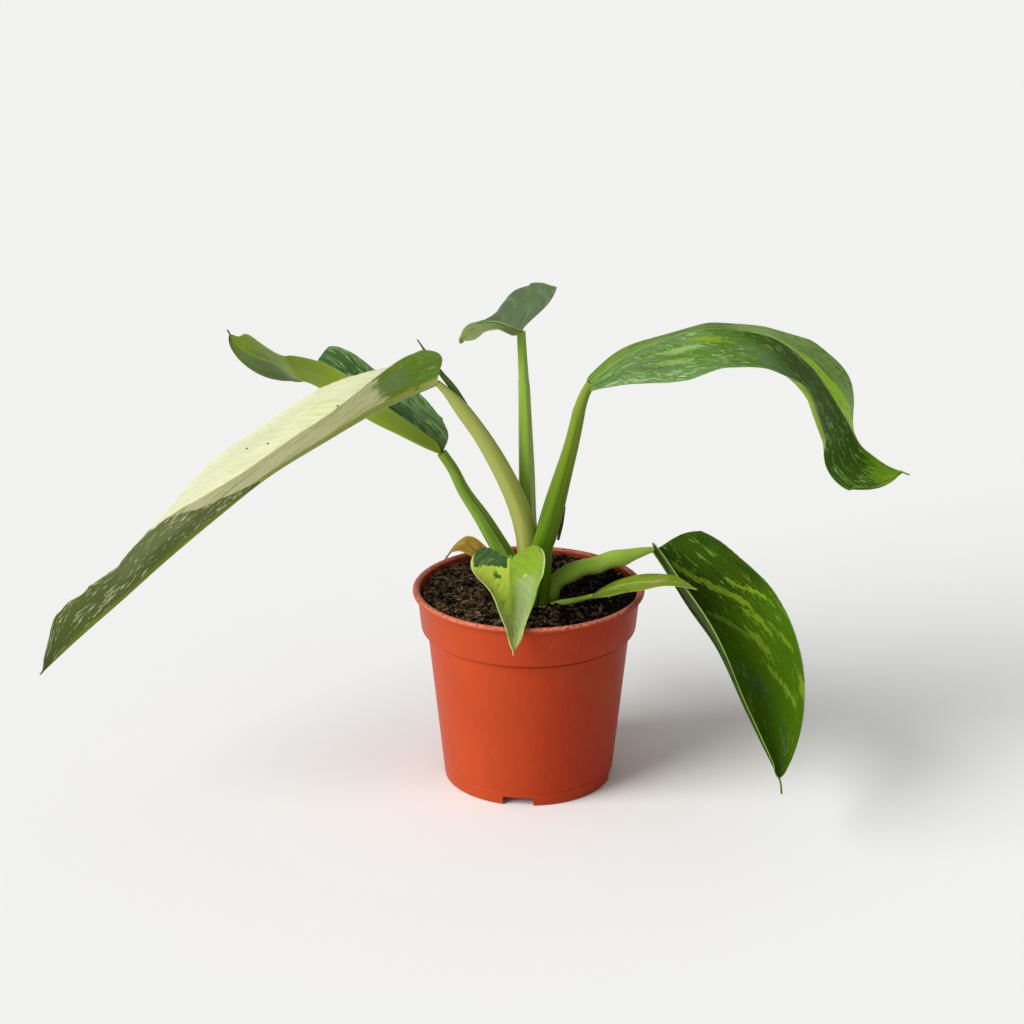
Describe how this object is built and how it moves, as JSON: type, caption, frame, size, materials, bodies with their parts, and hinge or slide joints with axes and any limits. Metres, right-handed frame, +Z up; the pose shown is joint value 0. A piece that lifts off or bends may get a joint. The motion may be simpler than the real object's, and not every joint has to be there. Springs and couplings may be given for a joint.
{
  "type": "potted jose buono philodendron",
  "caption": "Potted aroid with long drooping variegated leaf blades on grooved stalks, in dark peat in a round collared plastic nursery pot.",
  "frame": {"origin": "centre of the pot's base, on the surface that it stands on", "axes": "+X towards the arching leaf, along the plant's longest spread; -Y the front, where the small heart-shaped leaf hangs over the rim; +Z up"},
  "size_m": [0.4405, 0.203, 0.2626],
  "materials": {
    "leaf_green": "waxy dark green with lime flecks",
    "leaf_cream": "waxy cream with green patches",
    "leaf_lime": "waxy lime green",
    "leaf_grey_green": "waxy grey green with pale flecks",
    "stalk_green": "smooth fresh green",
    "stalk_olive": "smooth pale olive",
    "dry_sheath": "dry dark brown",
    "withered": "dry yellow ochre",
    "pot": "satin terracotta",
    "peat": "loose dark peat",
    "crown": "rough brown"
  },
  "bodies": {
    "root": {"blade_arching": "leaf_green", "blade_long_cream": "leaf_cream", "blade_heart": "leaf_lime", "blade_narrow": "leaf_lime", "blade_low_right": "leaf_green", "blade_top": "leaf_grey_green", "blade_back_left": "leaf_green", "stalk_arching": "stalk_green", "stalk_long_cream": "stalk_olive", "stalk_heart": "stalk_green", "stalk_narrow": "stalk_green", "stalk_low_right": "stalk_green", "stalk_top": "stalk_green", "stalk_back_left": "stalk_green", "new_leaf_spear": "leaf_green", "dried_sheath": "dry_sheath", "withered_leaf": "withered", "pot": "pot", "soil": "peat", "crown": "crown"}
  },
  "joints": []
}
